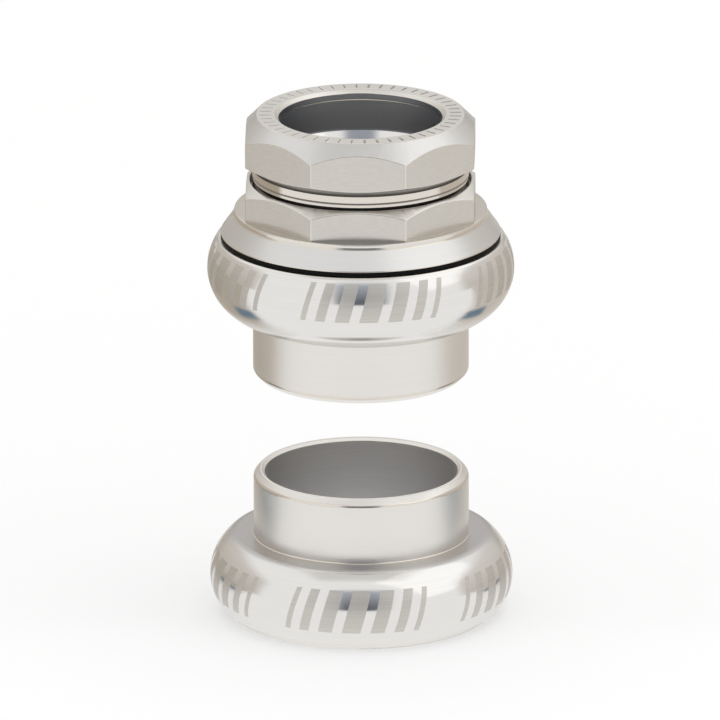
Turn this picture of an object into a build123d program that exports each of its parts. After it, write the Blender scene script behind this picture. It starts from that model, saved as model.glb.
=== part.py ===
from build123d import *
import math
import os

os.makedirs("parts", exist_ok=True)

# Threaded bicycle headset, 1 1/8 inch, in two units on one upright axis.
# Lengths are in millimetres, heights count up from the underside of the crown race plate.

# Standard sizes that other parts of the bicycle have to fit
steerer_thread_d = 28.6
steerer_pitch = 25.4 / 26
quill_stem_d = 25.4

# Clearances
press_gap = 0.01
seat_gap = 0.03
run_gap = 0.05

# Bearing, the same in both cups
ring_over_steerer = 1.1
ring_section = 5.1
ring_w = 7.0
inner_ring_wall = 1.6
outer_ring_wall = 1.6
ring_corner = 0.4
ring_seat_chamfer = 0.8
ball_d = 3.175
ball_count = 18
raceway_ratio = 1.04
cage_wall = 1.3
cage_seal_gap = 0.2
cage_prong_h = 0.75
seal_step_w = 0.5
seal_t = 0.65
inboard_seal_depth = 0.3
outboard_seal_depth = 0.82
snap_ring_t = 0.42
snap_ring_w = 1.15
snap_groove_depth = 0.36
snap_groove_bite = 0.35
snap_ring_opening = 24.0

# Both cups, measured as depths from the open rim
skirt_over_steerer = 0.93
skirt_wall = 1.82
skirt_lead_in = 0.95
skirt_bore_chamfer = 0.42
root_fillet = 0.2
ring_recess = 0.9
rim_edge = 0.3
seat_ledge_w = 1.8
floor_relief = 0.6

# Lower cup
lower_rim_gap = 0.36
lower_belly_wall = 3.47
lower_belly_depth = 4.88
lower_rim_arc_r = 7.7
lower_corner_r = 2.1
lower_shoulder_w = 2.63
lower_shoulder_depth = 11.64
lower_skirt_len = 10.5

# Upper cup
units_gap = 15.86
upper_belly_wall = 3.74
upper_belly_depth = 5.0
upper_rim_arc_r = 8.5
upper_corner_r = 2.1
upper_shoulder_w = 0.85
upper_shoulder_depth = 12.8
upper_skirt_len = 9.84

# Crown race plate
crown_seat_over_steerer = 0.7
plate_over_ring = 0.3
plate_t = 0.9
plate_edge_r = 0.25
race_land_inset = 0.1
plate_bore_chamfer = 0.4
cone_top_t = 0.45

# Bearing cap, which is also the lower of the two nuts
cap_seal_gap = 0.7
cap_over_ring = 1.7
cap_cone_h = 2.85
cap_cone_step = 0.33
cap_band_over_corner = 0.39
cap_band_h = 1.05
cap_nut_h = 5.0
cap_chamfer_deg = 36.0
cap_hub_len = 6.7
mouth_relief_gap = 0.35
labyrinth_gap_r = 0.2
labyrinth_drop = 0.4
seal_groove_over_ring = 0.4
seal_tongue_w = 0.5
seal_tongue_h = 0.5
seal_flange_inset = 0.12

# Lock nut
lock_nut_gap = 3.0
lock_nut_h = 7.5
lock_bore_over_steerer = 0.6
neck_wall = 2.2
flats_over_neck = 0.9
lock_top_chamfer_w = 1.55
lock_top_chamfer_deg = 45.0
lock_under_chamfer_deg = 24.0
mouth_over_quill = 0.25
mouth_chamfer = 0.45
mouth_lip_h = 1.7
neck_groove_r = 0.5
neck_land_h = 1.2
nut_thread_pitch = 1.0
spigot_len = 6.9
spigot_chamfer = 0.4

# Split collet that the lock nut drives into the cap's taper
tighten_turns = 1.5
collet_top_below_nut_top = 7.1
collet_lead_in_h = 1.8
collet_rim_t = 0.35
bead_h = 0.8
bead_bite = 0.4
bead_below_collet_top = 2.6
taper_deg = 12.0
taper_inset = 0.8
taper_h = 4.0
taper_land_h = 0.35
collet_slit_w = 1.6

nut_sides = 8


def thread_depth(pitch):
    """Depth of a 60 degree thread from crest to root."""
    return 5 / 8 * math.cos(math.radians(30)) * pitch


# Radii that follow from the sizes above
steerer_r = steerer_thread_d / 2
steerer_bore_r = steerer_r - thread_depth(steerer_pitch)
crown_seat_r = steerer_r + crown_seat_over_steerer
ring_bore_r = steerer_r + ring_over_steerer
ring_outer_r = ring_bore_r + ring_section
inner_land_r = ring_bore_r + inner_ring_wall
outer_land_r = ring_outer_r - outer_ring_wall
seal_step_r = outer_land_r + seal_step_w
pitch_r = (ring_bore_r + ring_outer_r) / 2
ball_r = ball_d / 2
raceway_r = ball_r * raceway_ratio
skirt_bore_r = steerer_r + skirt_over_steerer
skirt_r = skirt_bore_r + skirt_wall
race_land_r = inner_land_r - race_land_inset
race_cone_r = ring_bore_r + ring_seat_chamfer - seat_gap
lock_bore_r = steerer_r + lock_bore_over_steerer
mouth_r = quill_stem_d / 2 + mouth_over_quill
neck_r = lock_bore_r + neck_wall
thread_root_r = neck_r - thread_depth(nut_thread_pitch)
nut_flat_r = neck_r + flats_over_neck
nut_corner_r = nut_flat_r / math.cos(math.pi / nut_sides)
cap_band_r = nut_corner_r + cap_band_over_corner
cap_edge_r = ring_outer_r + cap_over_ring
seal_groove_r = ring_outer_r + seal_groove_over_ring
taper_big_r = neck_r - taper_inset
taper_small_r = taper_big_r - taper_h * math.tan(math.radians(taper_deg))

# Heights that follow from the sizes above
lower_rim_z = plate_t + lower_rim_gap
lower_ring_z = lower_rim_z + ring_recess
lower_skirt_end_z = lower_rim_z + lower_shoulder_depth + lower_skirt_len
upper_skirt_end_z = lower_skirt_end_z + units_gap
upper_rim_z = upper_skirt_end_z + upper_skirt_len + upper_shoulder_depth
upper_ring_z = upper_rim_z - ring_recess
cap_edge_z = upper_rim_z + cap_seal_gap
cap_band_z = cap_edge_z + cap_cone_h
cap_ledge_z = cap_band_z + cap_band_h
cap_top_z = cap_ledge_z + cap_nut_h
lock_under_z = cap_top_z + lock_nut_gap
land_z = lock_under_z - 2 * neck_groove_r - neck_land_h
land_root_z = land_z - (neck_r - thread_root_r)
lock_top_z = lock_under_z + lock_nut_h
spigot_end_z = lock_under_z - spigot_len
tighten_travel = tighten_turns * nut_thread_pitch
collet_top_z = lock_top_z - collet_top_below_nut_top
collet_shoulder_z = spigot_end_z - run_gap
taper_big_z = collet_shoulder_z - taper_land_h
collet_end_z = taper_big_z - taper_h


def turned(*edges):
    """A solid of revolution about Z from an outline in radius and height."""
    return revolve(Plane.XZ * make_face(edges), Axis.Z)


def turned_polygon(*points):
    """A solid of revolution about Z from the corners of its section."""
    return turned(*Polyline(*points, close=True).edges())


def seen_from_rim(rim_z, opens_up):
    """Places a piece drawn with its depths from the rim as +Z."""
    return Pos(0, 0, rim_z) * (Rot(180, 0, 0) if opens_up else Rot(0, 0, 0))


def octagon_nut(height, top_r, top_deg, under_r, under_deg):
    """An eight-sided prism whose corners are turned off by a cone at each end."""
    outline = RegularPolygon(nut_flat_r, nut_sides, major_radius=False, rotation=180 / nut_sides)
    blank = extrude(outline, height)
    clear_r = nut_corner_r + 1
    top_drop = (clear_r - top_r) * math.tan(math.radians(top_deg))
    under_rise = (clear_r - under_r) * math.tan(math.radians(under_deg))
    envelope = turned_polygon(
        (0, 0),
        (under_r, 0),
        (clear_r, under_rise),
        (clear_r, height - top_drop),
        (top_r, height),
        (0, height),
    )
    return blank & envelope


def cup(belly_wall, belly_depth, rim_arc_r, corner_r, shoulder_w, shoulder_depth, skirt_len):
    """A turned cup: round belly, flat shoulder for the head tube, press-fit skirt, ring seat."""
    belly_r = ring_outer_r + belly_wall
    rim_angle = math.asin((belly_depth - rim_edge) / rim_arc_r)
    rim_r = belly_r - rim_arc_r * (1 - math.cos(rim_angle))
    corner_x = skirt_r + shoulder_w
    corner_y = shoulder_depth - corner_r
    rise = corner_y - belly_depth
    turn = 2 * math.atan((belly_r - corner_r - corner_x) / rise)
    belly_arc_r = corner_r + rise / math.sin(turn)
    end = shoulder_depth + skirt_len
    seat_r = ring_outer_r + press_gap
    seat_depth = ring_recess + ring_w
    floor_depth = seat_depth + floor_relief
    relief_r = ring_outer_r - seat_ledge_w
    rim_arc = CenterArc((belly_r - rim_arc_r, belly_depth), rim_arc_r,
                        -math.degrees(rim_angle), math.degrees(rim_angle))
    belly_arc = CenterArc((belly_r - belly_arc_r, belly_depth), belly_arc_r,
                          0, math.degrees(turn))
    corner_arc = CenterArc((corner_x, corner_y), corner_r,
                           math.degrees(turn), 90 - math.degrees(turn))
    root_arc = CenterArc((skirt_r + root_fillet, shoulder_depth + root_fillet), root_fillet,
                         270, -90)
    shoulder = Line(corner_arc @ 1, root_arc @ 0)
    inside = Polyline(
        root_arc @ 1,
        (skirt_r, end - skirt_lead_in),
        (skirt_r - skirt_lead_in, end),
        (skirt_bore_r + skirt_bore_chamfer, end),
        (skirt_bore_r, end - skirt_bore_chamfer),
        (skirt_bore_r, floor_depth),
        (relief_r, floor_depth),
        (relief_r, seat_depth),
        (seat_r, seat_depth),
        (seat_r, rim_edge),
        (seat_r + rim_edge, 0),
        (rim_r - rim_edge, 0),
        rim_arc @ 0,
    )
    return turned(rim_arc, belly_arc, corner_arc, shoulder, root_arc, *inside.edges())


def inner_ring():
    """Inner bearing ring: raceway outside, a chamfer at each end of the bore for its seat."""
    ring = turned_polygon(
        (ring_bore_r, ring_seat_chamfer),
        (ring_bore_r + ring_seat_chamfer, 0),
        (inner_land_r, 0),
        (inner_land_r, ring_w),
        (ring_bore_r + ring_seat_chamfer, ring_w),
        (ring_bore_r, ring_w - ring_seat_chamfer),
    )
    raceway_x = pitch_r - ball_r - run_gap / 2 + raceway_r
    return ring - Pos(0, 0, ring_w / 2) * Torus(raceway_x, raceway_r)


def outer_ring():
    """Outer bearing ring: raceway inside, a step for each seal, a groove for the snap ring."""
    outboard_step = outboard_seal_depth + seal_t + seat_gap
    inboard_step = ring_w - inboard_seal_depth - seal_t - seat_gap
    groove_end = snap_groove_depth + snap_ring_t + 2 * seat_gap
    ring = turned_polygon(
        (seal_step_r, 0),
        (ring_outer_r - ring_corner, 0),
        (ring_outer_r, ring_corner),
        (ring_outer_r, ring_w - ring_corner),
        (ring_outer_r - ring_corner, ring_w),
        (seal_step_r, ring_w),
        (seal_step_r, inboard_step),
        (outer_land_r, inboard_step),
        (outer_land_r, outboard_step),
        (seal_step_r, outboard_step),
        (seal_step_r, groove_end),
        (seal_step_r + snap_groove_bite, groove_end),
        (seal_step_r + snap_groove_bite, snap_groove_depth),
        (seal_step_r, snap_groove_depth),
    )
    raceway_x = pitch_r + ball_r + run_gap / 2 - raceway_r
    return ring - Pos(0, 0, ring_w / 2) * Torus(raceway_x, raceway_r)


def seal(depth):
    """Rubber disc that fills the gap between the rings and wipes the inner one."""
    return turned_polygon(
        (inner_land_r + run_gap, depth),
        (seal_step_r - seat_gap, depth),
        (seal_step_r - seat_gap, depth + seal_t),
        (inner_land_r + run_gap, depth + seal_t),
    )


def snap_ring():
    """Open flat ring sprung into the outer ring's groove, over the outboard seal."""
    outside = seal_step_r + snap_groove_bite - seat_gap
    depth = snap_groove_depth + seat_gap
    whole = turned_polygon(
        (outside - snap_ring_w, depth),
        (outside, depth),
        (outside, depth + snap_ring_t),
        (outside - snap_ring_w, depth + snap_ring_t),
    )
    half_gap = outside * math.tan(math.radians(snap_ring_opening / 2))
    wedge = Polygon((0, 0), (outside, -half_gap), (outside, half_gap), align=None)
    opening = extrude(wedge, ring_w)
    return whole - opening


def balls():
    """The full set of balls, evenly spaced on the pitch circle."""
    places = PolarLocations(pitch_r, ball_count)
    return Compound([Pos(0, 0, ring_w / 2) * place * Sphere(ball_r) for place in places])


def ball_cage():
    """Crown cage: a ring with round pockets open on one side, which the balls snap into."""
    pocket_r = ball_r + run_gap
    middle = ring_w / 2
    back = ring_w - inboard_seal_depth - seal_t - cage_seal_gap
    blank = turned_polygon(
        (pitch_r - cage_wall / 2, middle - cage_prong_h),
        (pitch_r + cage_wall / 2, middle - cage_prong_h),
        (pitch_r + cage_wall / 2, back),
        (pitch_r - cage_wall / 2, back),
    )
    for turn in range(ball_count):
        angle = 360 / ball_count * turn
        pocket = Rot(0, 0, angle) * Pos(pitch_r, 0, middle) * Rot(0, 90, 0)
        blank -= pocket * Cylinder(pocket_r, 2 * cage_wall)
    return blank


def crown_race_plate():
    """Thin plate on the fork crown whose raised cone centres the lower inner ring."""
    plate_r = ring_outer_r + plate_over_ring
    tip_r = crown_seat_r + cone_top_t
    tip_z = lower_ring_z + race_cone_r - tip_r
    edge = CenterArc((plate_r - plate_edge_r, plate_edge_r), plate_edge_r, 270, 90)
    rest = Polyline(
        edge @ 1,
        (plate_r, plate_t),
        (race_land_r, plate_t),
        (race_land_r, lower_ring_z),
        (race_cone_r, lower_ring_z),
        (tip_r, tip_z),
        (crown_seat_r, tip_z),
        (crown_seat_r, plate_bore_chamfer),
        (crown_seat_r + plate_bore_chamfer, 0),
        edge @ 0,
    )
    return turned(edge, *rest.edges())


def bearing_cap():
    """Lower nut and bearing cap in one: octagon, ledge, cone flare, relieved mouth, taper, hub."""
    thread_r = thread_root_r + run_gap
    relief_r = neck_r + mouth_relief_gap
    relief_z = land_root_z - tighten_travel - run_gap
    octagon = Pos(0, 0, cap_ledge_z) * octagon_nut(
        cap_nut_h,
        relief_r,
        cap_chamfer_deg,
        cap_band_r,
        cap_chamfer_deg,
    )
    hub_r = ring_bore_r - seat_gap
    spigot_r = ring_outer_r - labyrinth_gap_r
    labyrinth_z = upper_rim_z - labyrinth_drop
    hub_end_z = upper_ring_z - cap_hub_len
    body = turned_polygon(
        (0, hub_end_z),
        (hub_r, hub_end_z),
        (hub_r, upper_ring_z - (race_cone_r - hub_r)),
        (race_cone_r, upper_ring_z),
        (race_land_r, upper_ring_z),
        (race_land_r, labyrinth_z),
        (spigot_r, labyrinth_z),
        (spigot_r, cap_edge_z),
        (cap_edge_r, cap_edge_z),
        (cap_band_r + cap_cone_step, cap_band_z),
        (cap_band_r, cap_band_z),
        (cap_band_r, cap_ledge_z),
        (0, cap_ledge_z),
    )
    groove_in_r = seal_groove_r - seat_gap
    groove_out_r = seal_groove_r + seal_tongue_w + seat_gap
    groove_top_z = cap_edge_z + seal_tongue_h + seat_gap
    groove = turned_polygon(
        (groove_in_r, cap_edge_z),
        (groove_out_r, cap_edge_z),
        (groove_out_r, groove_top_z),
        (groove_in_r, groove_top_z),
    )
    pocket_r = taper_big_r + run_gap
    pocket_top_z = spigot_end_z - tighten_travel - run_gap
    pocket_end_z = collet_end_z - tighten_travel - run_gap
    bore = turned_polygon(
        (0, hub_end_z),
        (steerer_bore_r, hub_end_z),
        (steerer_bore_r, pocket_end_z),
        (taper_small_r + run_gap, pocket_end_z),
        (pocket_r, taper_big_z - tighten_travel),
        (pocket_r, pocket_top_z),
        (thread_r, pocket_top_z),
        (thread_r, relief_z),
        (relief_r, relief_z),
        (relief_r, cap_top_z),
        (0, cap_top_z),
    )
    return octagon + body - groove - bore


def cap_seal():
    """Black rubber ring that closes the gap between the cap and the upper cup."""
    outside_r = cap_edge_r - seal_flange_inset
    under_z = upper_rim_z + run_gap
    flange_z = cap_edge_z - press_gap
    return turned_polygon(
        (seal_groove_r, under_z),
        (outside_r, under_z),
        (outside_r, flange_z),
        (seal_groove_r + seal_tongue_w, flange_z),
        (seal_groove_r + seal_tongue_w, cap_edge_z + seal_tongue_h),
        (seal_groove_r, cap_edge_z + seal_tongue_h),
    )


def lock_nut():
    """Upper nut: chamfered octagon, relief groove, threaded spigot, lipped bore."""
    octagon = Pos(0, 0, lock_under_z) * octagon_nut(
        lock_nut_h,
        nut_flat_r - lock_top_chamfer_w,
        lock_top_chamfer_deg,
        nut_flat_r,
        lock_under_chamfer_deg,
    )
    spigot = turned_polygon(
        (0, spigot_end_z),
        (thread_root_r - spigot_chamfer, spigot_end_z),
        (thread_root_r, spigot_end_z + spigot_chamfer),
        (thread_root_r, land_root_z),
        (neck_r, land_z),
        (neck_r, lock_under_z),
        (0, lock_under_z),
    )
    relief = Pos(0, 0, lock_under_z - neck_groove_r) * Torus(neck_r, neck_groove_r)
    lip_z = lock_top_z - mouth_lip_h
    bead_top_z = collet_top_z - bead_below_collet_top + run_gap
    bead_under_z = bead_top_z - bead_h - 2 * run_gap
    bead_r = lock_bore_r + bead_bite + run_gap
    bore = turned_polygon(
        (0, spigot_end_z),
        (lock_bore_r, spigot_end_z),
        (lock_bore_r, bead_under_z),
        (bead_r, bead_under_z),
        (bead_r, bead_top_z),
        (lock_bore_r, bead_top_z),
        (lock_bore_r, lip_z),
        (mouth_r, lip_z),
        (mouth_r, lock_top_z - mouth_chamfer),
        (mouth_r + mouth_chamfer, lock_top_z),
        (0, lock_top_z),
    )
    return octagon + (spigot - relief) - bore


def grip_collet():
    """Split sleeve: polished lead-in at the top, snap bead, shoulder and outer taper below."""
    sleeve_r = lock_bore_r - run_gap
    bead_top_z = collet_top_z - bead_below_collet_top
    bead_r = sleeve_r + bead_bite
    sleeve = turned_polygon(
        (steerer_bore_r, collet_end_z),
        (taper_small_r, collet_end_z),
        (taper_big_r, taper_big_z),
        (taper_big_r, collet_shoulder_z),
        (sleeve_r, collet_shoulder_z),
        (sleeve_r, bead_top_z - bead_h),
        (bead_r, bead_top_z - bead_h),
        (bead_r, bead_top_z),
        (sleeve_r, bead_top_z),
        (sleeve_r, collet_top_z),
        (sleeve_r - collet_rim_t, collet_top_z),
        (steerer_bore_r, collet_top_z - collet_lead_in_h),
    )
    length = collet_top_z - collet_end_z
    slit = Pos(0, -taper_big_r, collet_end_z + length / 2) * Box(collet_slit_w, 2 * taper_big_r, length)
    return sleeve - slit


def write(node, solid):
    """Writes one piece to its own file."""
    solid.label = node
    export_step(solid, "parts/" + node + ".step")


for unit, ring_z, opens_up in (("lower", lower_ring_z, False), ("upper", upper_ring_z, True)):
    place = seen_from_rim(ring_z, opens_up)
    write(unit + "_inner_ring", place * inner_ring())
    write(unit + "_outer_ring", place * outer_ring())
    write(unit + "_balls", place * balls())
    write(unit + "_ball_cage", place * ball_cage())
    write(unit + "_outboard_seal", place * seal(outboard_seal_depth))
    write(unit + "_inboard_seal", place * seal(ring_w - inboard_seal_depth - seal_t))
    write(unit + "_snap_ring", place * snap_ring())

lower_cup = cup(lower_belly_wall, lower_belly_depth, lower_rim_arc_r, lower_corner_r,
                lower_shoulder_w, lower_shoulder_depth, lower_skirt_len)
upper_cup = cup(upper_belly_wall, upper_belly_depth, upper_rim_arc_r, upper_corner_r,
                upper_shoulder_w, upper_shoulder_depth, upper_skirt_len)
write("lower_cup", seen_from_rim(lower_rim_z, False) * lower_cup)
write("upper_cup", seen_from_rim(upper_rim_z, True) * upper_cup)
write("crown_race_plate", crown_race_plate())
write("bearing_cap", bearing_cap())
write("cap_seal", cap_seal())
write("lock_nut", lock_nut())
write("grip_collet", grip_collet())
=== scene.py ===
"""Looks of a threaded bicycle headset: turned and milled aluminium, etched marks, rubber seal, studio."""

import math

import bmesh
import bpy
from bpy.props import FloatProperty, IntProperty, PointerProperty, StringProperty
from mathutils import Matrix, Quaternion, Vector


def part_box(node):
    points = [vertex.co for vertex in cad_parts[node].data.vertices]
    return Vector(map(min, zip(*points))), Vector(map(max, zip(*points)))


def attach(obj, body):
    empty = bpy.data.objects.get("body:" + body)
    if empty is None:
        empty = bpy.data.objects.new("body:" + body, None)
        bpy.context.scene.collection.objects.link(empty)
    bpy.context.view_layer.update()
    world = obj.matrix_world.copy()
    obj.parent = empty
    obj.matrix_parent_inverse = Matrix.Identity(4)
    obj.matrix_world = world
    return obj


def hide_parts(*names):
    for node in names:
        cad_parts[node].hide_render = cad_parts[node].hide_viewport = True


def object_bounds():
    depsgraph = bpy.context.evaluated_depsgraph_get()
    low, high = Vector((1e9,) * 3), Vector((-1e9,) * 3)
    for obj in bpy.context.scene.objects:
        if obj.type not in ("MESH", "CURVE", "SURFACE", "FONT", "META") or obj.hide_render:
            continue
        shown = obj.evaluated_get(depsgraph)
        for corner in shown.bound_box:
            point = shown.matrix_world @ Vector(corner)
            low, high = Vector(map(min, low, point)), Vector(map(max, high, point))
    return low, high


bl_info = {
    "name": "Bicycle headset",
    "version": (1, 0, 0),
    "blender": (4, 5, 0),
    "location": "3D View > Sidebar > Headset",
    "description": "Builds the visible pieces of a threaded headset round its packed solids",
    "category": "Object",
}

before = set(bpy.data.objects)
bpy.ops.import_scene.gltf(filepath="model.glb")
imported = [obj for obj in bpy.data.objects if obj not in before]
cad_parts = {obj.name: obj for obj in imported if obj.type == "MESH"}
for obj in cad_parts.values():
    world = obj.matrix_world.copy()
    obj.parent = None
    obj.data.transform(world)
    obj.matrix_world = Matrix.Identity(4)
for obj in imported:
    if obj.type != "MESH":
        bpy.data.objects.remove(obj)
CAD_BOX = [list(corner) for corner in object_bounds()]

MM = 0.001
PHOTO_PIXELS = 720
NUT_SIDES = 8
MARKS_PER_CUP = 5
FRONT = -math.pi / 2
GRAIN_DEPTH = 0.02 * MM
CLOUD_SIZE = 6 * MM
SHARP_DEG = 38


def length(name, description, value_mm):
    """A length that the sidebar shows in the scene's unit."""
    return FloatProperty(name=name, description=description, default=value_mm * MM,
                         subtype="DISTANCE", unit="LENGTH", precision=5)


def shade(name, description, code):
    """A colour as an sRGB hex value."""
    return StringProperty(name=name, description=description, default=code)


def angle(name, description, value_deg):
    """An angle that the sidebar shows in degrees."""
    return FloatProperty(name=name, description=description, default=math.radians(value_deg),
                         subtype="ANGLE", unit="ROTATION")


class HeadsetSizes(bpy.types.PropertyGroup):
    """Sizes of the turned and milled pieces, as they measure on the bench."""

    skirt_radius: length("Skirt radius", "Press-fit skirt of both cups", 17.05)
    skirt_bore: length("Skirt bore", "Radius inside the skirts", 15.23)
    ring_seat: length("Ring seat", "Radius of the bearing seat in the cups", 20.51)
    nut_flats: length("Nut flats", "Distance across the flats of both nuts", 36.0)
    nut_edge: length("Nut edge", "Radius of the upright edges of the nuts", 0.2)
    neck_radius: length("Neck radius", "Land above the lock nut's thread", 17.1)
    thread_pitch: length("Thread pitch", "Pitch of the lock nut's own thread", 1.0)
    thread_depth: length("Thread depth", "Crest to root of the lock nut's thread", 0.541)
    steerer_bore: length("Steerer bore", "Crest radius of the steerer thread", 13.771)
    edge_break: length("Edge break", "Radius at which sharp edges are eased", 0.2)
    etch_step: length("Etch step", "How far an etched patch stands off the polished face", 0.012)
    tick_width: length("Tick width", "Width of the ticks cut in the lock nut's top", 0.3)
    tick_depth: length("Tick depth", "Depth of the ticks cut in the lock nut's top", 0.07)
    tick_count: IntProperty(name="Ticks", description="Ticks round the lock nut's top", default=48, min=1)


class HeadsetFinishes(bpy.types.PropertyGroup):
    """Colours of the metals, rubber and plastic."""

    polished: shade("Polished aluminium", "Cup bands", "E3E1DE")
    # Faced tone of the shoulders; across the cups' corners it is also painted shade.
    faced: shade("Faced aluminium", "Flat shoulders of the cups", "C2BFBD")
    turned: shade("Turned aluminium", "Skirts, top of the lock nut", "E4E1DC")
    milled: shade("Milled aluminium", "Nut flats", "D0CCC5")
    neck: shade("Burnished aluminium", "Neck and eased edges", "DCD6CD")
    cone: shade("Satin aluminium", "Cone of the bearing cap", "D8D7D5")
    bore: shade("Bored aluminium", "Bores of the cups", "D6D4D2")
    # The lock nut's bore colour is darkened and cooled as painted shade.
    relieved: shade("Relieved bore", "Bore of the lock nut", "B2B5BA")
    # Painted shade: the relief's dark colour stands in for the shade down in the groove.
    relief_shade: shade("Relief, painted shade", "Relief above the lock nut's thread", "5A5855")
    etched: shade("Etched aluminium", "Frosted marks", "CAC6C0")
    # Raw cut tone of the ticks and thread; in the groove under the lock nut's head it is painted shade.
    cut_tone_and_groove_shade: shade("Raw cut aluminium", "Ticks, groove and thread cut in the lock nut", "9C9893")
    bearing: shade("Bearing steel", "Rings and balls", "C4C5C8")
    spring: shade("Spring steel", "Snap rings", "8E8F93")
    rubber: shade("Seal rubber", "Seals", "0C0C0C")
    nylon: shade("Cage nylon", "Ball cages", "CFC4A6")
    table: shade("Table", "Studio table", "BFBFBF")


class HeadsetStudio(bpy.types.PropertyGroup):
    """Where the camera stands and how strong the lamps are."""

    azimuth: angle("Azimuth", "Camera turned to the right of the front", 1.2)
    elevation: angle("Elevation", "Camera above the horizon", 17.67)
    roll: angle("Roll", "Camera turned about its own axis", -0.12)
    distance: length("Distance", "Camera to headset", 3100)
    target_height: length("Target height", "Height that the camera looks at", 41.3)
    target_side: length("Target side", "How far right of the axis it looks", -0.15)
    pixels_per_mm: FloatProperty(name="Scale", description="Picture scale at the target", default=6.325)
    soft_box: FloatProperty(name="Soft box", description="Power of the large lamp at the right",
                            default=2.0, subtype="POWER", unit="POWER")
    surround: FloatProperty(name="Surround", description="White walls, as scattered light", default=0.98)


# Colour and node helpers


def linear(code):
    """Turns an sRGB hex value into a linear colour."""
    channels = [int(code[i:i + 2], 16) / 255 for i in (0, 2, 4)]
    return [c / 12.92 if c <= 0.04045 else ((c + 0.055) / 1.055) ** 2.4 for c in channels] + [1.0]


def add_node(tree, kind, links=None, **settings):
    """Adds one node. Settings that begin with in_ fill an input, links feed inputs from other sockets."""
    node = tree.nodes.new(kind)
    for key, value in settings.items():
        if key.startswith("in_"):
            socket = key[3:].replace("_", " ")
            node.inputs[int(socket) if socket.isdigit() else socket].default_value = value
        else:
            setattr(node, key, value)
    for name, source in (links or {}).items():
        tree.links.new(source, node.inputs[name])
    return node


def new_material(name):
    """A node material with a Principled shader, with its tree and shader."""
    material = bpy.data.materials.new(name)
    material.use_nodes = True
    tree = material.node_tree
    return material, tree, tree.nodes["Principled BSDF"]


def lathe_place(tree):
    """A socket that holds the radius and the height of a point, the same all round the axis."""
    place = add_node(tree, "ShaderNodeTexCoord").outputs["Object"]
    parts = add_node(tree, "ShaderNodeSeparateXYZ", {0: place})
    flat = add_node(tree, "ShaderNodeCombineXYZ", {0: parts.outputs[0], 1: parts.outputs[1]})
    radius = add_node(tree, "ShaderNodeVectorMath", {0: flat.outputs[0]}, operation="LENGTH")
    across = add_node(tree, "ShaderNodeCombineXYZ", {0: radius.outputs["Value"], 1: parts.outputs[2]})
    return across.outputs[0]


def lathe_metal(name, code, roughness, groove_mm, groove_strength, anisotropic, tint=0.02,
                uneven=0.15, level=None):
    """Metal cut on a lathe: fine grooves run round the axis, so highlights spread across them.

    A lathe leaves grooves of about 0.1 mm. Most are drawn coarser, so that they show. Where level gives a
    second colour and roughness, the surface turns into those as it comes to lie level: on the cups' corners
    this darker colour is painted shade.
    """
    material, tree, shader = new_material(name)
    groove = add_node(tree, "ShaderNodeTexNoise", {"Vector": lathe_place(tree)},
                      in_Scale=1 / (groove_mm * MM), in_Detail=3.0, in_Roughness=0.6)
    bump = add_node(tree, "ShaderNodeBump", {"Height": groove.outputs["Fac"]},
                    in_Strength=groove_strength, in_Distance=GRAIN_DEPTH)
    place = add_node(tree, "ShaderNodeTexCoord")
    cloud = add_node(tree, "ShaderNodeTexNoise", {"Vector": place.outputs["Object"]},
                     in_Scale=1 / CLOUD_SIZE, in_Detail=4.0)
    rough = add_node(tree, "ShaderNodeMapRange", {"Value": cloud.outputs["Fac"]},
                     in_To_Min=roughness * (1 - uneven), in_To_Max=roughness * (1 + uneven))
    base = linear(code)
    tone = add_node(tree, "ShaderNodeValToRGB", {"Fac": groove.outputs["Fac"]})
    tone.color_ramp.elements[0].position, tone.color_ramp.elements[1].position = 0.3, 0.7
    tone.color_ramp.elements[0].color = [c * (1 - tint) for c in base[:3]] + [1.0]
    tone.color_ramp.elements[1].color = [min(1.0, c * (1 + tint)) for c in base[:3]] + [1.0]
    tangent = add_node(tree, "ShaderNodeTangent", direction_type="RADIAL", axis="Z")
    colour, dullness = tone.outputs[0], rough.outputs[0]
    # Colour and roughness turn towards level's on level faces; across the cups' corners the darker colour
    # is painted shade.
    if level:
        sloping, flat_on = 0.75, 0.985
        lean = add_node(tree, "ShaderNodeSeparateXYZ", {0: place.outputs["Normal"]})
        lean = add_node(tree, "ShaderNodeMath", {0: lean.outputs[2]}, operation="ABSOLUTE")
        share = add_node(tree, "ShaderNodeMapRange", {"Value": lean.outputs[0]}, in_From_Min=sloping,
                         in_From_Max=flat_on, interpolation_type="SMOOTHSTEP").outputs[0]
        blend = add_node(tree, "ShaderNodeMix", {"Factor": share, "A": colour}, data_type="RGBA")
        blend.inputs["B"].default_value = linear(level[0])
        dullness = add_node(tree, "ShaderNodeMath", {0: share, 2: dullness},
                            operation="MULTIPLY_ADD", in_1=level[1] - roughness).outputs[0]
        colour = blend.outputs[2]
    shader.inputs["Metallic"].default_value = 1.0
    shader.inputs["Anisotropic"].default_value = anisotropic
    tree.links.new(colour, shader.inputs["Base Color"])
    tree.links.new(dullness, shader.inputs["Roughness"])
    tree.links.new(bump.outputs[0], shader.inputs["Normal"])
    tree.links.new(tangent.outputs[0], shader.inputs["Tangent"])
    return material


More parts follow.
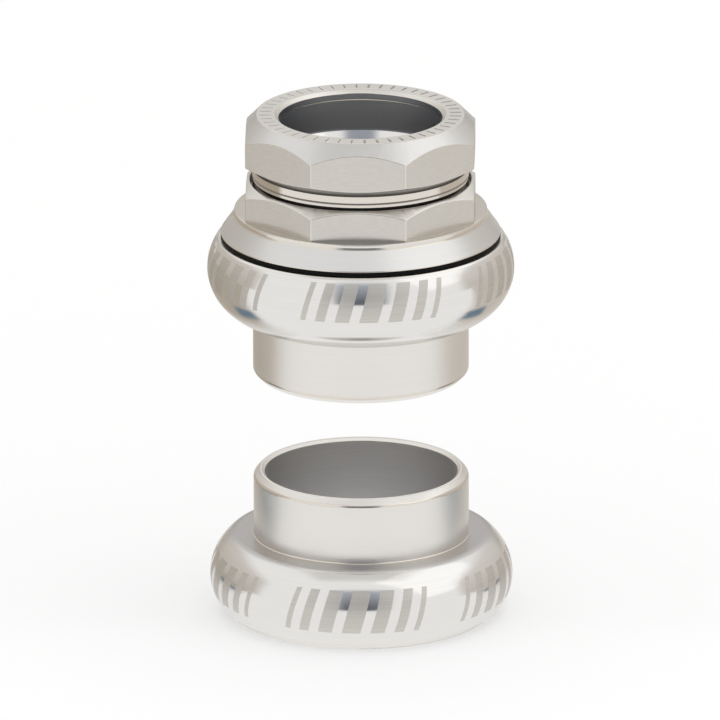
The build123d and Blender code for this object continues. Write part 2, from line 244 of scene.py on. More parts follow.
def moulded(name, code, grain_mm, roughness, gloss, uneven=0.1):
    """Moulded rubber or plastic: an even body colour with the fine grain of the mould."""
    material, tree, shader = new_material(name)
    place = add_node(tree, "ShaderNodeTexCoord")
    grain = add_node(tree, "ShaderNodeTexNoise", {"Vector": place.outputs["Object"]},
                     in_Scale=1 / (grain_mm * MM), in_Detail=3.0)
    bump = add_node(tree, "ShaderNodeBump", {"Height": grain.outputs["Fac"]},
                    in_Strength=0.3, in_Distance=GRAIN_DEPTH)
    rough = add_node(tree, "ShaderNodeMapRange", {"Value": grain.outputs["Fac"]},
                     in_To_Min=roughness * (1 - uneven), in_To_Max=roughness * (1 + uneven))
    shader.inputs["Base Color"].default_value = linear(code)
    shader.inputs["Specular IOR Level"].default_value = gloss
    tree.links.new(rough.outputs[0], shader.inputs["Roughness"])
    tree.links.new(bump.outputs[0], shader.inputs["Normal"])
    return material


# Materials, each named for the real metal and how its surface was made


def colours():
    """The colours as they are set in the sidebar."""
    return bpy.context.scene.headset_finishes


def polished_aluminium():
    """Cup bands, buffed before anodising: a soft mirror, duller on the faced shoulder, where no buff ran.
    Across the corner, as the band turns level, its colour darkens to the faced tone: painted shade that
    dims the highlight there.
    """
    return lathe_metal("Buffed silver anodised aluminium", colours().polished, roughness=0.14,
                       groove_mm=0.3, groove_strength=0.04, anisotropic=0.2,
                       level=(colours().faced, 0.3))


def turned_aluminium():
    """Skirts and the nut's top as turned: satin, so light spreads across the fine lines."""
    return lathe_metal("Turned silver anodised aluminium", colours().turned, roughness=0.34,
                       groove_mm=0.18, groove_strength=0.2, anisotropic=0.6)


def milled_aluminium():
    """Nut flats, brushed along their length: satin, a little warmer and darker."""
    return lathe_metal("Brushed satin anodised aluminium", colours().milled, roughness=0.32,
                       groove_mm=0.22, groove_strength=0.25, anisotropic=0.4, tint=0.05)


def burnished_aluminium():
    """Neck and eased edges: cut with a fine tool, nearly as bright as the bands."""
    return lathe_metal("Fine turned bright aluminium", colours().neck, roughness=0.12, groove_mm=0.2,
                       groove_strength=0.05, anisotropic=0.2)


def cone_aluminium():
    """Cone and chamfers: turned fine, so they hold a wide soft highlight."""
    return lathe_metal("Fine turned satin aluminium", colours().cone, roughness=0.26, groove_mm=0.2,
                       groove_strength=0.1, anisotropic=0.4)


def bored_aluminium():
    """Bores as the boring bar leaves them: darker satin with fine rings."""
    return lathe_metal("Bored anodised aluminium", colours().bore, roughness=0.36, groove_mm=0.15,
                       groove_strength=0.3, anisotropic=0.5, tint=0.04)


def relieved_bore_painted_shade():
    """Lock nut's bore, relieved behind its lip: as the cups' bores, a tone darker and cooler, which is
    painted shade inside the nut's mouth.
    """
    return lathe_metal("Bored aluminium, painted dark for shade", colours().relieved, roughness=0.34,
                       groove_mm=0.15, groove_strength=0.3, anisotropic=0.5, tint=0.04)


def relief_painted_shade():
    """Relief between thread and land: its dark colour is painted shade, so it reads as a dark line."""
    return lathe_metal("Turned aluminium, painted shade", colours().relief_shade, roughness=0.4, groove_mm=0.1,
                       groove_strength=0.3, anisotropic=0.2)


def etched_aluminium():
    """Etched marks: frosted, so they look matt beside the polish, with the laser's lines drawn coarse."""
    return lathe_metal("Etched frosted aluminium", colours().etched, roughness=0.5, groove_mm=0.25,
                       groove_strength=0.4, anisotropic=0.0, tint=0.07)


def cut_aluminium_and_groove_shade():
    """Metal cut after anodising, as ticks, groove and thread: raw, rough and a tone darker. In the groove
    under the lock nut's head, the darker tone is painted shade.
    """
    return lathe_metal("Cut raw aluminium, painted groove shade", colours().cut_tone_and_groove_shade, roughness=0.5, groove_mm=0.08,
                       groove_strength=0.3, anisotropic=0.0)


def bearing_steel():
    """Rings and balls: ground and lapped steel, a cool mirror with faint rings."""
    return lathe_metal("Ground bearing steel", colours().bearing, roughness=0.16, groove_mm=0.1,
                       groove_strength=0.08, anisotropic=0.2)


def spring_steel():
    """Snap rings: blanked strip, a greyer satin."""
    return lathe_metal("Blued spring steel strip", colours().spring, roughness=0.3, groove_mm=0.1,
                       groove_strength=0.1, anisotropic=0.2)


def seal_rubber():
    """Moulded nitrile: black and matt, with the slight grain of the mould."""
    return moulded("Moulded nitrile rubber", colours().rubber, grain_mm=0.15, roughness=0.6, gloss=0.1)


def cage_nylon():
    """Injection moulded nylon: cream, with a soft sheen."""
    return moulded("Moulded natural nylon", colours().nylon, grain_mm=0.3, roughness=0.45, gloss=0.5)


MADE = {}


def finish(make):
    """A material is made once, and its pieces share it."""
    if make not in MADE:
        MADE[make] = make()
    return MADE[make]


# Outlines: points of radius, height and zone. The zone is the material slot of the face that follows.


def arc(centre_r, centre_z, radius, start_deg, end_deg, zone, step_deg=4.0):
    """Points along an arc of an outline."""
    count = max(2, math.ceil(abs(end_deg - start_deg) / step_deg))
    turns = [math.radians(start_deg + (end_deg - start_deg) * i / count) for i in range(count + 1)]
    return [(centre_r + radius * math.cos(t), centre_z + radius * math.sin(t), zone) for t in turns]


def eased(points, radius, edge, inner=False, steps=4, smooth_deg=12.0, most=0.4):
    """A closed outline with each outer corner rounded in the zone edge, and inner ones on request.

    Small turns belong to arcs and stay. A rounding takes up no more than a share most of each side.
    """
    made = []
    area = sum(a[0] * b[1] - b[0] * a[1] for a, b in zip(points, points[1:] + points[:1]))
    for i, (r, z, zone) in enumerate(points):
        here = Vector((r, z))
        before = Vector(points[i - 1][:2])
        after = Vector(points[(i + 1) % len(points)][:2])
        come, go = here - before, after - here
        turn = come.angle(go)
        outer = (come.x * go.y - come.y * go.x) * area > 0
        if turn < math.radians(smooth_deg) or not (outer or inner):
            made.append((r, z, zone))
            continue
        reach = min(radius * math.tan(turn / 2), most * come.length, most * go.length)
        start = here - come.normalized() * reach
        end = here + go.normalized() * reach
        for k in range(steps + 1):
            t = k / steps
            point = start * (1 - t) ** 2 + here * 2 * t * (1 - t) + end * t ** 2
            made.append((point.x, point.y, zone if k == steps else edge))
    return made


def round_turns(count=288):
    """Evenly spaced turns about the axis."""
    return [math.tau * i / count for i in range(count)]


def nut_reach(turn, flats, edge):
    """Radius of an eight-sided nut at a turn about its axis, and whether its rounded edge is there."""
    half = math.pi / NUT_SIDES
    off = abs((turn + half) % (2 * half) - half)
    flat_reach = flats / 2 / math.cos(off)
    centre = (flats / 2 - edge) / math.cos(half)
    away = half - off
    if flat_reach * math.sin(off) <= (flats / 2 - edge) * math.tan(half):
        return flat_reach, False
    return centre * math.cos(away) + math.sqrt(edge ** 2 - (centre * math.sin(away)) ** 2), True


def nut_turns(flats, edge):
    """Turns for a nut's columns: even along the flats, close together round each upright edge."""
    half = math.pi / NUT_SIDES
    spread = edge * math.tan(half) / (flats / 2 / math.cos(half)) * math.cos(half)
    made = set(round_turns())
    for side in range(NUT_SIDES):
        corner = (2 * side + 1) * half
        made |= {corner + spread * k / 3 for k in range(-4, 5)}
    return sorted({round(t, 6) for t in made})


def thread_cut(z, turn, start_z, sizes, steep=1.15, crest=0.1):
    """How deep the lock nut's right-hand thread is cut at a height and a turn, counted from its end.

    Its crests and roots are flats: steep and crest say how much of the plain V they cut off.
    """
    phase = (z - start_z) / sizes.thread_pitch - turn / math.tau
    wave = abs(2 * (phase - math.floor(phase)) - 1)
    return sizes.thread_depth * min(1.0, max(steep * wave - crest, 0.0))


def revolved(name, sections):
    """A closed mesh through outlines placed at turns about the axis, from pairs of turn and outline."""
    rows, columns = len(sections[0][1]), len(sections)
    verts, faces, zones = [], [], []
    for turn, outline in sections:
        c, s = math.cos(turn), math.sin(turn)
        verts += [(r * c, r * s, z) for r, z, zone in outline]
    for i in range(columns):
        j = (i + 1) % columns
        for k in range(rows):
            m = (k + 1) % rows
            faces.append((i * rows + k, j * rows + k, j * rows + m, i * rows + m))
            zones.append(sections[i][1][k][2])
    mesh = bpy.data.meshes.new(name)
    mesh.from_pydata(verts, [], faces)
    mesh.polygons.foreach_set("material_index", zones)
    return mesh


def patches(name, bars, lift, sink, rows=14, columns=6):
    """Thin closed patches that lie on a surface.

    Each bar holds the function that places it, its ends along u, its ends along v, and its slant.
    """
    verts, faces = [], []
    for place, u_low, u_high, v_low, v_high, slant in bars:
        first = len(verts)
        layer = (rows + 1) * (columns + 1)
        for stand in (-sink, lift):
            for j in range(rows + 1):
                v = v_low + (v_high - v_low) * j / rows
                shift = slant * (v - (v_low + v_high) / 2)
                for i in range(columns + 1):
                    verts.append(place(u_low + (u_high - u_low) * i / columns + shift, v, stand))
        for j in range(rows):
            for i in range(columns):
                a = first + j * (columns + 1) + i
                quad = (a, a + 1, a + columns + 2, a + columns + 1)
                faces.append(quad)
                faces.append(tuple(layer + q for q in reversed(quad)))
        rim = [first + i for i in range(columns + 1)]
        rim += [first + j * (columns + 1) + columns for j in range(1, rows + 1)]
        rim += [first + rows * (columns + 1) + i for i in range(columns - 1, -1, -1)]
        rim += [first + j * (columns + 1) for j in range(rows - 1, 0, -1)]
        for a, b in zip(rim, rim[1:] + rim[:1]):
            faces.append((b, a, a + layer, b + layer))
    mesh = bpy.data.meshes.new(name)
    mesh.from_pydata(verts, [], faces)
    return mesh


def add_piece(name, mesh, materials, body, replaces=()):
    """Places a mesh in the scene as a piece that rides on a body, with its faces turned outward."""
    work = bmesh.new()
    work.from_mesh(mesh)
    bmesh.ops.recalc_face_normals(work, faces=work.faces)
    work.to_mesh(mesh)
    work.free()
    mesh.shade_smooth()
    mesh.set_sharp_from_angle(angle=math.radians(SHARP_DEG))
    for make in materials:
        mesh.materials.append(finish(make))
    piece = bpy.data.objects.new(name, mesh)
    bpy.context.scene.collection.objects.link(piece)
    weighted = piece.modifiers.new("Flat faces stay flat", "WEIGHTED_NORMAL")
    weighted.keep_sharp = True
    weighted.weight = 100
    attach(piece, body)
    if replaces:
        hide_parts(*replaces)
    return piece


class Cup:
    """Outline of one cup, from its measured arcs, with depths that count from the open rim."""

    BAND, SKIRT, BORE, EDGE = range(4)
    FINISHES = (polished_aluminium, turned_aluminium, bored_aluminium, burnished_aluminium)

    def __init__(self, node, rim_arc, belly_arc, belly_depth, shoulder_depth, skirt_length, opens_up):
        low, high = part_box(node)
        self.opens_up = opens_up
        self.rim_z = high[2] if opens_up else low[2]
        reach = min(-low[0], high[0], -low[1], high[1])
        self.belly = reach - bpy.context.scene.headset_sizes.etch_step
        self.rim_arc, self.belly_arc, self.corner = rim_arc * MM, belly_arc * MM, 2.1 * MM
        self.belly_depth, self.shoulder = belly_depth * MM, shoulder_depth * MM
        self.end = self.shoulder + skirt_length * MM

    def height(self, depth):
        """The height that lies at a depth from the open rim."""
        return self.rim_z - depth if self.opens_up else self.rim_z + depth

    def place(self, centre):
        """Gives points on the band: u runs round it from a centre turn, v is the depth from the rim."""
        def point(u, v, lift):
            off = v - self.belly_depth
            radius = self.rim_arc if off < 0 else self.belly_arc
            lean = math.asin(off / radius)
            r = self.belly - radius + (radius + lift) * math.cos(lean)
            z = self.height(self.belly_depth + (radius + lift) * math.sin(lean))
            turn = centre + u / self.belly
            return r * math.cos(turn), r * math.sin(turn), z
        return point

    def outline(self, sizes):
        """The closed outline: band, shoulder, skirt with its lead-in, bore, bearing seat and rim."""
        band, skirt, bore, edge = self.BAND, self.SKIRT, self.BORE, self.EDGE
        rim_edge, seat_depth, floor_depth, floor_r = 0.3 * MM, 7.9 * MM, 8.5 * MM, 18.7 * MM
        lead_in, lead_round, bore_edge = 0.95 * MM, 0.8 * MM, 0.42 * MM
        start = -math.degrees(math.asin((self.belly_depth - rim_edge) / self.rim_arc))
        rise = self.shoulder - self.belly_depth
        turn = math.degrees(math.asin((rise - self.corner) / (self.belly_arc - self.corner)))
        corner_r = self.belly - self.belly_arc
        corner_r += (self.belly_arc - self.corner) * math.cos(math.radians(turn))
        points = arc(self.belly - self.rim_arc, self.belly_depth, self.rim_arc, start, 0, band)[:-1]
        points += arc(self.belly - self.belly_arc, self.belly_depth, self.belly_arc, 0, turn, band)[:-1]
        points += arc(corner_r, self.shoulder - self.corner, self.corner, turn, 90, band)[:-1]
        rim_r = points[0][0]
        lead = arc(sizes.skirt_radius - lead_round, self.end - lead_in - lead_round * math.tan(math.pi / 8),
                   lead_round, 0, 45, edge)
        points += [
            (corner_r, self.shoulder, band),
            (sizes.skirt_radius, self.shoulder, skirt),
            *lead[:-1],
            (*lead[-1][:2], skirt),
            (sizes.skirt_radius - lead_in, self.end, skirt),
            (sizes.skirt_bore + bore_edge, self.end, skirt),
            (sizes.skirt_bore, self.end - bore_edge, bore),
            (sizes.skirt_bore, floor_depth, bore),
            (floor_r, floor_depth, bore),
            (floor_r, seat_depth, bore),
            (sizes.ring_seat, seat_depth, bore),
            (sizes.ring_seat, rim_edge, bore),
            (sizes.ring_seat + rim_edge, 0.0, skirt),
            (rim_r - rim_edge, 0.0, band),
        ]
        points = eased(points, sizes.edge_break, edge, inner=True)
        return [(r, self.height(depth), zone) for r, depth, zone in points]


def add_cup(cup, node, sizes):
    """The turned body of a cup, in place of its node."""
    outline = cup.outline(sizes)
    mesh = revolved(node + "_turned", [(t, outline) for t in round_turns()])
    add_piece(node + "_turned", mesh, cup.FINISHES, "cups", [node])


def add_cup_marks(cup, name, sizes, front_deg, v_low, v_high, slant):
    """Five frosted marks round a cup, each a row of slanted bars that grow towards its middle."""
    widths = (0.9, 1.6, 2.3, 3.0, 2.3, 1.6, 0.9)
    gap = 1.6
    bars = []
    for mark in range(MARKS_PER_CUP):
        place = cup.place(FRONT + math.radians(front_deg) + math.tau * mark / MARKS_PER_CUP)
        u = -(sum(widths) + gap * (len(widths) - 1)) / 2
        for width in widths:
            bars.append((place, u * MM, (u + width) * MM, v_low * MM, v_high * MM, slant))
            u += width + gap
    mesh = patches(name, bars, sizes.etch_step, 4 * sizes.etch_step)
    add_piece(name, mesh, (etched_aluminium,), "cups")


# Operators, one for each piece or group of like pieces


class HEADSET_OT_cup_lower(bpy.types.Operator):
    """Lower cup: buffed band with its frosted marks, dull shoulder and press-fit skirt"""

    bl_idname = "headset.cup_lower"
    bl_label = "Lower cup"

    def execute(self, context):
        sizes = context.scene.headset_sizes
        cup = Cup("lower_cup", rim_arc=7.7, belly_arc=8.15, belly_depth=4.88, shoulder_depth=11.64,
                  skirt_length=10.5, opens_up=False)
        add_cup(cup, "lower_cup", sizes)
        add_cup_marks(cup, "lower_cup_marks", sizes, front_deg=-0.7, v_low=2.3, v_high=9.1, slant=0.27)
        return {"FINISHED"}


class HEADSET_OT_cup_upper(bpy.types.Operator):
    """Upper cup: buffed band with its frosted marks, dull shoulder and press-fit skirt"""

    bl_idname = "headset.cup_upper"
    bl_label = "Upper cup"

    def execute(self, context):
        sizes = context.scene.headset_sizes
        cup = Cup("upper_cup", rim_arc=8.5, belly_arc=8.05, belly_depth=5.0, shoulder_depth=12.8,
                  skirt_length=9.84, opens_up=True)
        add_cup(cup, "upper_cup", sizes)
        add_cup_marks(cup, "upper_cup_marks", sizes, front_deg=6.0, v_low=0.8, v_high=6.9, slant=-0.27)
        return {"FINISHED"}


class HEADSET_OT_bearing_cap(bpy.types.Operator):
    """Bearing cap: eight-sided nut with a chamfered top, threaded mouth, ledge and cone"""

    bl_idname = "headset.bearing_cap"
    bl_label = "Bearing cap"

    def execute(self, context):
        sizes = context.scene.headset_sizes
        flat, cone, bore, bright, chamfer = range(5)
        low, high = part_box("bearing_cap")
        top, end = high[2], low[2]
        ledge = top - 5.0 * MM
        band = ledge - 1.05 * MM
        edge = band - 2.85 * MM
        ledge_r, flare_r, edge_r = 19.95 * MM, 1.0 * MM, 22.2 * MM
        chamfer_drop = math.tan(math.radians(36.0))
        groove_out, groove_in, groove_top = 21.43 * MM, 20.87 * MM, edge + 0.53 * MM
        spigot_r, spigot_end = 20.3 * MM, edge - 1.1 * MM
        land_r, land_end = 16.9 * MM, edge - 1.6 * MM
        hub_r, cone_r, cone_end = 15.37 * MM, 16.17 * MM, edge - 2.4 * MM
        taper_small, taper_end = 15.5 * MM, end + 7.35 * MM
        pocket_r, taper_top = 16.35 * MM, end + 11.4 * MM
        mouth = sizes.neck_radius + 0.35 * MM
        thread_crest = sizes.neck_radius + 0.08 * MM
        thread_low, thread_high, thread_rows = top - 5.45 * MM, top - 1.291 * MM, 84
        thread_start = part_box("lock_nut")[0][2]
        flare = arc(ledge_r + flare_r, band + 0.675 * MM, flare_r, 180, 215, bright)
        sections = []
        for turn in nut_turns(sizes.nut_flats, sizes.nut_edge):
            reach, on_edge = nut_reach(turn, sizes.nut_flats, sizes.nut_edge)
            thread = []
            for i in range(thread_rows + 1):
                z = thread_low + (thread_high - thread_low) * i / thread_rows
                thread.append((thread_crest - thread_cut(z, turn, thread_start, sizes), z, bore))
            outline = [
                (mouth, thread_high, bore),
                (mouth, top, chamfer),
                (reach, top - (reach - mouth) * chamfer_drop, bright if on_edge else flat),
                (reach, ledge, bright),
                (ledge_r, ledge, chamfer),
                *flare[:-1],
                (*flare[-1][:2], cone),
                (edge_r, edge, cone),
                (groove_out, edge, bore),
                (groove_out, groove_top, bore),
                (groove_in, groove_top, bore),
                (groove_in, edge, bore),
                (spigot_r, edge, bore),
                (spigot_r, spigot_end, bore),
                (land_r, spigot_end, bore),
                (land_r, land_end, bore),
                (cone_r, land_end, bore),
                (hub_r, cone_end, bore),
                (hub_r, end, bore),
                (sizes.steerer_bore, end, bore),
                (sizes.steerer_bore, taper_end, bore),
                (taper_small, taper_end, bore),
                (pocket_r, taper_top, bore),
                (pocket_r, thread_low, bore),
            ]
            sections.append((turn, thread + eased(outline, sizes.edge_break, bright)))
        mesh = revolved("bearing_cap_turned", sections)
        finishes = (milled_aluminium, cone_aluminium, bored_aluminium, burnished_aluminium,
                    turned_aluminium)
        add_piece("bearing_cap_turned", mesh, finishes, "upper_turning", ["bearing_cap"])
        return {"FINISHED"}


class HEADSET_OT_lock_nut(bpy.types.Operator):
    """Lock nut: eight-sided head with a ticked top, relief groove, land, thread and lipped mouth"""

    bl_idname = "headset.lock_nut"
    bl_label = "Lock nut"

    def execute(self, context):
        sizes = context.scene.headset_sizes
        flat, cone, top_face, bright, bore, cut, relief = range(7)
        low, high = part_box("lock_nut")
        top, end = high[2], low[2]
        under = top - 7.5 * MM
        neck = sizes.neck_radius
        land_end = under - 2.05 * MM
        crest_end = land_end - 0.7 * MM
        thread_end = land_end - 1.4 * MM
        chamfer_r = 16.45 * MM
        under_r, under_rise = 17.95 * MM, math.tan(math.radians(24.0))
        mouth, countersink, lip_end = 12.88 * MM, 0.55 * MM, top - 1.7 * MM
        bore_r, bead_r = 14.9 * MM, 15.35 * MM
        bead_top, bead_end = top - 9.65 * MM, top - 10.55 * MM
        groove_r, scribe_width, scribe_depth = 0.5 * MM, 0.3 * MM, 0.13 * MM
        tick_out, tick_in, wall = 15.9 * MM, 14.1 * MM, 0.02 * MM
        tick_middle = (tick_out + tick_in) / 2
        thread_start, thread_rows = end + 0.3 * MM, 64
        thread_root = neck - sizes.thread_depth
        end_chamfer, relief_wall, fade_length = 0.4 * MM, 0.03 * MM, sizes.thread_pitch / 2
        covered, near = 4, 1e-7
        half_tick = sizes.tick_width / 2 / tick_middle
        wall_turn = wall / tick_middle
        ticks = {}
        for i in range(sizes.tick_count):
            centre = math.tau * (i + 0.5) / sizes.tick_count
            ticks[round(centre - half_tick - wall_turn, 6)] = (0.0, cut)
            ticks[round(centre - half_tick, 6)] = (sizes.tick_depth, cut)
            ticks[round(centre + half_tick, 6)] = (sizes.tick_depth, cut)
            ticks[round(centre + half_tick + wall_turn, 6)] = (0.0, top_face)
        sections = []
        for turn in sorted(set(nut_turns(sizes.nut_flats, sizes.nut_edge)) | set(ticks)):
            reach, on_edge = nut_reach(turn, sizes.nut_flats, sizes.nut_edge)
            depth, tick_face = ticks.get(turn, (0.0, top_face))
            head = eased([
                (neck, under, flat),
                (under_r, under, flat),
                (reach, under + (reach - under_r) * under_rise, bright if on_edge else flat),
                (reach, top - (reach - chamfer_r), cone),
                (chamfer_r, top, top_face),
                (mouth + countersink, top, top_face),
                (mouth, top - countersink, bore),
                (mouth, lip_end, bore),
                (bore_r, lip_end, bore),
                (bore_r, bead_top, bore),
                (bead_r, bead_top, bore),
                (bead_r, bead_end, bore),
                (bore_r, bead_end, bore),
                (bore_r, end, bore),
                (thread_root - end_chamfer, end, cut),
            ], sizes.edge_break, bright)
            # The groove under the head ends where these first points lie, so it takes their place.
            head = head[covered:]
            on_top = max(i for i, (r, z, zone) in enumerate(head) if z > top - near and r > tick_out)
            head[on_top + 1:on_top + 1] = [
                (tick_out, top, tick_face),
                (tick_out - wall, top - depth, tick_face),
                (tick_in + wall, top - depth, tick_face),
                (tick_in, top, top_face),
            ]
            thread = []
            for i in range(thread_rows + 1):
                z = thread_start + (thread_end - thread_start) * i / thread_rows
                run_out = max(0.0, 1 - (thread_end - z) / fade_length)
                cut_in = max(thread_cut(z, turn, end, sizes), sizes.thread_depth * run_out)
                # Run-out rows take the relief's dark colour, which is painted shade.
                thread.append((neck - cut_in, z, relief if run_out else cut))
            thread += [
                (thread_root, crest_end - relief_wall, relief),
                (neck, crest_end, bright),
                (neck, land_end - scribe_width, cut),
                (neck - scribe_depth, land_end - scribe_width / 2, cut),
                (neck, land_end, bright),
            ]
            # The groove under the head takes the dark cut tone as painted shade.
            groove = arc(neck, under - groove_r, groove_r, 270, 90, cut, step_deg=12)
            sections.append((turn, head + thread + groove))
        mesh = revolved("lock_nut_turned", sections)
        finishes = (milled_aluminium, cone_aluminium, turned_aluminium, burnished_aluminium,
                    relieved_bore_painted_shade, cut_aluminium_and_groove_shade, relief_painted_shade)
        add_piece("lock_nut_turned", mesh, finishes, "top_nut", ["lock_nut"])
        return {"FINISHED"}


class HEADSET_OT_inner_parts(bpy.types.Operator):
    """Collet, crown race plate, bearing rings, balls, cages, seals and snap rings"""

    bl_idname = "headset.inner_parts"
    bl_label = "Inner parts"

    def execute(self, context):
        finish_of = {
            "grip_collet": polished_aluminium,
            "crown_race_plate": turned_aluminium,
            "inner_ring": bearing_steel,
            "outer_ring": bearing_steel,
            "balls": bearing_steel,
            "cage": cage_nylon,
            "seal": seal_rubber,
            "snap_ring": spring_steel,
        }
        for name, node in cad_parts.items():
            for ending, make in finish_of.items():
                if name.endswith(ending):
                    node.data.materials.clear()
                    node.data.materials.append(finish(make))
        return {"FINISHED"}


class HEADSET_OT_studio(bpy.types.Operator):
    """Studio: pale table, white surround, soft lamp, cards round the camera, camera"""

    bl_idname = "headset.studio"
    bl_label = "Studio"

    def execute(self, context):
        scene = context.scene
        add_camera(scene, scene.headset_studio)
        add_world(scene)
        add_table(scene)
        add_soft_box(scene)
        add_cards(scene, scene.headset_studio)
        scene.view_settings.view_transform = "Standard"
        return {"FINISHED"}


def add_world(scene):
    """White surround for the camera and for reflections, dimmer for scattered light."""
    world = bpy.data.worlds.new("White studio")
    scene.world = world
    world.use_nodes = True
    tree = world.node_tree
    tree.nodes.clear()
    path = add_node(tree, "ShaderNodeLightPath")
    seen = add_node(tree, "ShaderNodeMath", {0: path.outputs["Is Camera Ray"],
                                              1: path.outputs["Is Glossy Ray"]}, operation="MAXIMUM")
    seen = add_node(tree, "ShaderNodeMath", {0: seen.outputs[0],
                                              1: path.outputs["Is Transmission Ray"]}, operation="MAXIMUM")
    strength = add_node(tree, "ShaderNodeMapRange", {"Value": seen.outputs[0]},
                        in_To_Min=scene.headset_studio.surround, in_To_Max=1.0)
    white = add_node(tree, "ShaderNodeBackground", {"Strength": strength.outputs[0]},
                     in_Color=(1.0, 1.0, 1.0, 1.0))
    add_node(tree, "ShaderNodeOutputWorld", {"Surface": white.outputs[0]})


def add_stage_card(scene, name, width, height, place, facing, material):
    """A flat piece of the stage that faces a point, with its own Y upward."""
    mesh = bpy.data.meshes.new(name)
    x, y = width / 2, height / 2
    mesh.from_pydata([(-x, -y, 0), (x, -y, 0), (x, y, 0), (-x, y, 0)], [], [(0, 1, 2, 3)])
    mesh.materials.append(material)
    card = bpy.data.objects.new(name, mesh)
    scene.collection.objects.link(card)
    card.location = place
    card.rotation_mode = "QUATERNION"
    card.rotation_quaternion = (Vector(facing) - Vector(place)).to_track_quat("Z", "Y")
    return card


def add_table(scene):
    """Pale backlit table, as for packshots: white to the camera, with a soft weak shadow."""
    material, tree, shader = new_material("Pale table")
    shader.inputs["Base Color"].default_value = linear(scene.headset_finishes.table)
    shader.inputs["Roughness"].default_value = 0.8
    shader.inputs["Specular IOR Level"].default_value = 0.1
    shader.inputs["Emission Color"].default_value = (1.0, 1.0, 1.0, 1.0)
    shader.inputs["Emission Strength"].default_value = 0.45
    add_stage_card(scene, "table", 8.0, 8.0, (0, 0, CAD_BOX[0][2]), (0, 0, 1), material)


def add_soft_box(scene, side=1.6, place=(0.98, -0.17, 1.03)):
    """One large lamp high at the right, seen in the cone and the chamfers as a wide soft light."""
    light = bpy.data.lights.new("soft box", "AREA")
    light.size = side
    light.energy = scene.headset_studio.soft_box
    lamp = bpy.data.objects.new("soft box", light)
    scene.collection.objects.link(lamp)
    lamp.location = place
    lamp.rotation_mode = "QUATERNION"
    lamp.rotation_quaternion = lamp.location.to_track_quat("Z", "Y")


def towards(azimuth, elevation):
    """Direction from the headset to an azimuth, right of the front, and an elevation."""
    level = math.cos(elevation)
    return Vector((math.sin(azimuth) * level, -math.cos(azimuth) * level, math.sin(elevation)))


def add_camera(scene, studio):
    """Long lens at the photograph's angle."""
    back = towards(studio.azimuth, studio.elevation)
    side = Vector((math.cos(studio.azimuth), math.sin(studio.azimuth), 0))
    target = Vector((0, 0, studio.target_height)) + side * studio.target_side
    data = bpy.data.cameras.new("photo camera")
    data.sensor_width = 36.0
    data.lens = data.sensor_width * studio.pixels_per_mm / MM * studio.distance / PHOTO_PIXELS
    data.clip_start, data.clip_end = 0.1, 50.0
    camera = bpy.data.objects.new("photo camera", data)
    scene.collection.objects.link(camera)
    camera.rotation_mode = "QUATERNION"
    camera.location = target + back * studio.distance
    aim = (-back).to_track_quat("-Z", "Y")
    camera.rotation_quaternion = aim @ Quaternion((0, 0, 1), studio.roll)
    scene.camera = camera


def card_material(name, low, high, half_width, half_height, soft):
    """A card that shows one tone at its foot and another at its head, and fades out at its edges."""
    material = bpy.data.materials.new(name)
    material.use_nodes = True
    tree = material.node_tree
    tree.nodes.clear()
    place = add_node(tree, "ShaderNodeTexCoord").outputs["Object"]
    parts = add_node(tree, "ShaderNodeSeparateXYZ", {0: place})
    up = add_node(tree, "ShaderNodeMapRange", {"Value": parts.outputs[1]},
                  in_From_Min=-half_height, in_From_Max=half_height, interpolation_type="SMOOTHSTEP")
    tone = add_node(tree, "ShaderNodeMix", {"Factor": up.outputs[0]}, data_type="RGBA")
    tone.inputs["A"].default_value = linear(low)
    tone.inputs["B"].default_value = linear(high)
    cover = None
    for socket, half in ((parts.outputs[0], half_width), (parts.outputs[1], half_height)):
        size = add_node(tree, "ShaderNodeMath", {0: socket}, operation="ABSOLUTE")
        fade = add_node(tree, "ShaderNodeMapRange", {"Value": size.outputs[0]}, in_From_Min=half - soft,
                        in_From_Max=half, in_To_Min=1.0, in_To_Max=0.0, interpolation_type="SMOOTHSTEP")
        if cover:
            fade = add_node(tree, "ShaderNodeMath", {0: fade.outputs[0], 1: cover.outputs[0]},
                            operation="MULTIPLY")
        cover = fade
    glow = add_node(tree, "ShaderNodeEmission", {"Color": tone.outputs[2]}, in_Strength=1.0)
    clear = add_node(tree, "ShaderNodeBsdfTransparent")
    mixed = add_node(tree, "ShaderNodeMixShader", {0: cover.outputs[0], 1: clear.outputs[0],
                                                    2: glow.outputs[0]})
    add_node(tree, "ShaderNodeOutputMaterial", {"Surface": mixed.outputs[0]})
    return material


def add_card(scene, name, width, height, place, facing, low, high, soft):
    """One card that only reflections see."""
    material = card_material(name, low, high, width / 2, height / 2, soft)
    card = add_stage_card(scene, name, width, height, place, facing, material)
    card.visible_camera = False
    card.visible_shadow = False
    card.visible_diffuse = False


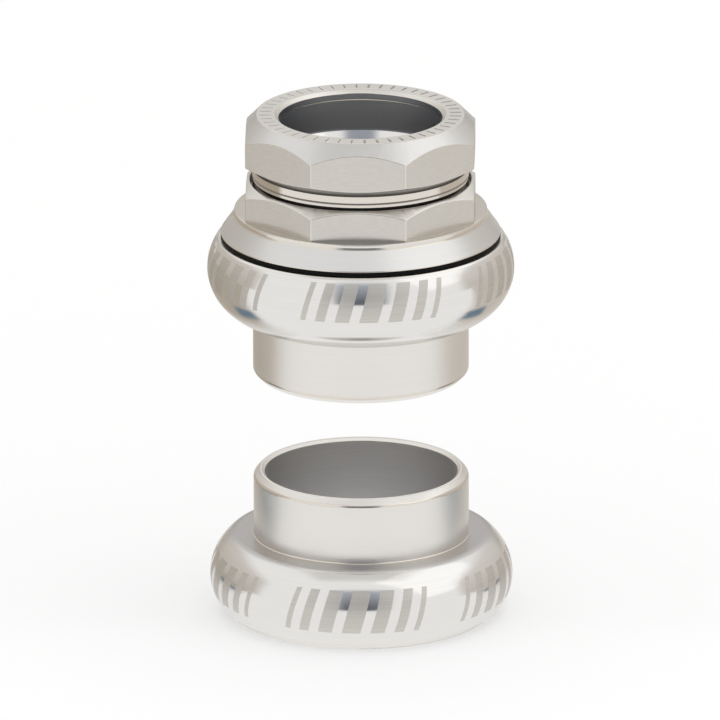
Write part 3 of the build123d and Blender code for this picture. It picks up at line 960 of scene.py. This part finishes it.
def add_cards(scene, studio):
    """The dark camera corner, the dimmer back of the room, and the tones that lie on the table."""
    target = Vector((0, 0, studio.target_height))
    for name, azimuth_deg, elevation_deg, distance, width, height, low, high, soft in (
        ("camera corner", 1.2, 17.0, 1.0, 0.92, 1.22, "30353E", "B6BCC6", 0.24),
        ("left wall", -118.0, 8.0, 1.3, 2.2, 1.5, "BCB4A9", "DEDAD5", 0.4),
        ("right wall", 118.0, 8.0, 1.3, 2.2, 1.5, "C6BFB6", "E6E3DF", 0.4),
        ("back wall", 180.0, 8.0, 1.6, 3.2, 1.2, "A9A49F", "DAD8D5", 0.35),
    ):
        place = target + towards(math.radians(azimuth_deg), math.radians(elevation_deg)) * distance
        add_card(scene, name, width, height, place, target, low, high, soft)
    for name, x, y, width, depth, low, high, soft, lift_mm in (
        ("back of the table", 0, 0.57, 2.4, 1.2, "DAD5CE", "E0DCD7", 0.12, 0.05),
        ("front of the table", 0, -0.6, 2.4, 1.2, "FFFFFF", "FFFFFF", 0.02, 0.05),
        ("left of the table", -0.63, 0.34, 1.2, 0.7, "B9B0A4", "B9B0A4", 0.03, 0.1),
        ("right of the table", 0.63, 0.34, 1.2, 0.7, "D2CBC2", "D2CBC2", 0.03, 0.1),
        ("left blue card", -0.073, 0.019, 0.038, 0.05, "6E8494", "6E8494", 0.013, 0.15),
        ("right blue card", 0.073, 0.019, 0.038, 0.05, "6E8494", "6E8494", 0.013, 0.15),
    ):
        place = (x, y, CAD_BOX[0][2] + lift_mm * MM)
        add_card(scene, name, width, depth, place, (x, y, 1), low, high, soft)
    add_card(scene, "ceiling", width=1.8, height=2.8, place=(0, 0.6, 1.5), facing=(0, 0.6, 0),
             low="E2E1DF", high="E2E1DF", soft=0.35)
    add_card(scene, "between the units", width=0.038, height=0.038, place=(0, 0, 31 * MM),
             facing=(0, 0, 0), low="FFFFFF", high="FFFFFF", soft=0.003)


CLASSES = (
    HeadsetSizes,
    HeadsetFinishes,
    HeadsetStudio,
    HEADSET_OT_cup_lower,
    HEADSET_OT_cup_upper,
    HEADSET_OT_bearing_cap,
    HEADSET_OT_lock_nut,
    HEADSET_OT_inner_parts,
    HEADSET_OT_studio,
)
STEPS = [c.bl_idname for c in CLASSES if issubclass(c, bpy.types.Operator)]


class HEADSET_PT_build(bpy.types.Panel):
    """Lists the pieces and the studio in the sidebar"""

    bl_label = "Headset"
    bl_idname = "HEADSET_PT_build"
    bl_space_type = "VIEW_3D"
    bl_region_type = "UI"
    bl_category = "Headset"

    def draw(self, context):
        for step in STEPS:
            self.layout.operator(step)


def register():
    for c in CLASSES:
        bpy.utils.register_class(c)
    bpy.utils.register_class(HEADSET_PT_build)
    bpy.types.Scene.headset_sizes = PointerProperty(type=HeadsetSizes)
    bpy.types.Scene.headset_finishes = PointerProperty(type=HeadsetFinishes)
    bpy.types.Scene.headset_studio = PointerProperty(type=HeadsetStudio)


def unregister():
    del bpy.types.Scene.headset_studio
    del bpy.types.Scene.headset_finishes
    del bpy.types.Scene.headset_sizes
    bpy.utils.unregister_class(HEADSET_PT_build)
    for c in reversed(CLASSES):
        bpy.utils.unregister_class(c)


def main():
    register()
    for step in STEPS:
        group, name = step.split(".")
        getattr(getattr(bpy.ops, group), name)()


if __name__ == "__main__":
    main()
